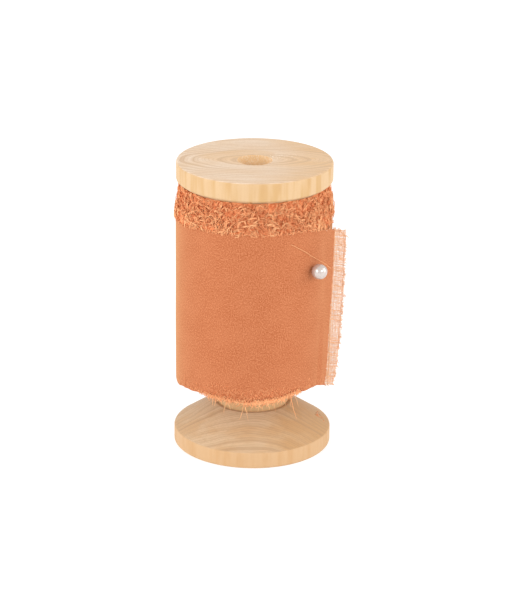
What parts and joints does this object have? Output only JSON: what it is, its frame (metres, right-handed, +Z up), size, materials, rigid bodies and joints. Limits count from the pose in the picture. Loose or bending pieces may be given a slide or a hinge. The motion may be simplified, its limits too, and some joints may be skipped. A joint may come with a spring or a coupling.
{
  "type": "ribbon spool",
  "caption": "Wooden spool with a bored core and coned discs, wound with frayed crepe ribbon whose end is held by a bead-headed pin.",
  "frame": {"origin": "foot of the spool's bore, on its axis, at the level of the base disc's underside", "axes": "+Z up the spool's axis; -Y to the front, with the pinned end of the ribbon on the +X side"},
  "size_m": [0.0495, 0.046, 0.086],
  "materials": {
    "disc_wood": "bare, fine sanded",
    "core_wood": "bare, fine sanded",
    "tape": "thin film",
    "ribbon": "matt crepe",
    "ribbon_end": "open gauze weave",
    "fray": "loose threads",
    "pin_steel": "bright wire",
    "pearl": "pearl lacquer"
  },
  "bodies": {
    "spool": {"base_flange": "disc_wood", "top_flange": "disc_wood", "core_tube": "core_wood", "anchor_tape": "tape", "ribbon_inner_turns": "ribbon", "ribbon_outer_turn": "ribbon", "upper_fray": "fray", "lower_fray": "fray"},
    "pin": {"pin_shank": "pin_steel", "pearl_head": "pearl"},
    "tail": {"ribbon_tail": "ribbon_end"}
  },
  "joints": [
    {"name": "pin_slide", "type": "slide", "parent": "spool", "child": "pin", "axis": [0.1688, -0.9818, 0.0872], "range_m": [0, 0.032]},
    {"name": "tail_lift", "type": "hinge", "parent": "spool", "child": "tail", "pos_m": [0.01986, -0.01112, 0.046], "axis": [0, 0, -1], "range_deg": [0, 90]}
  ]
}
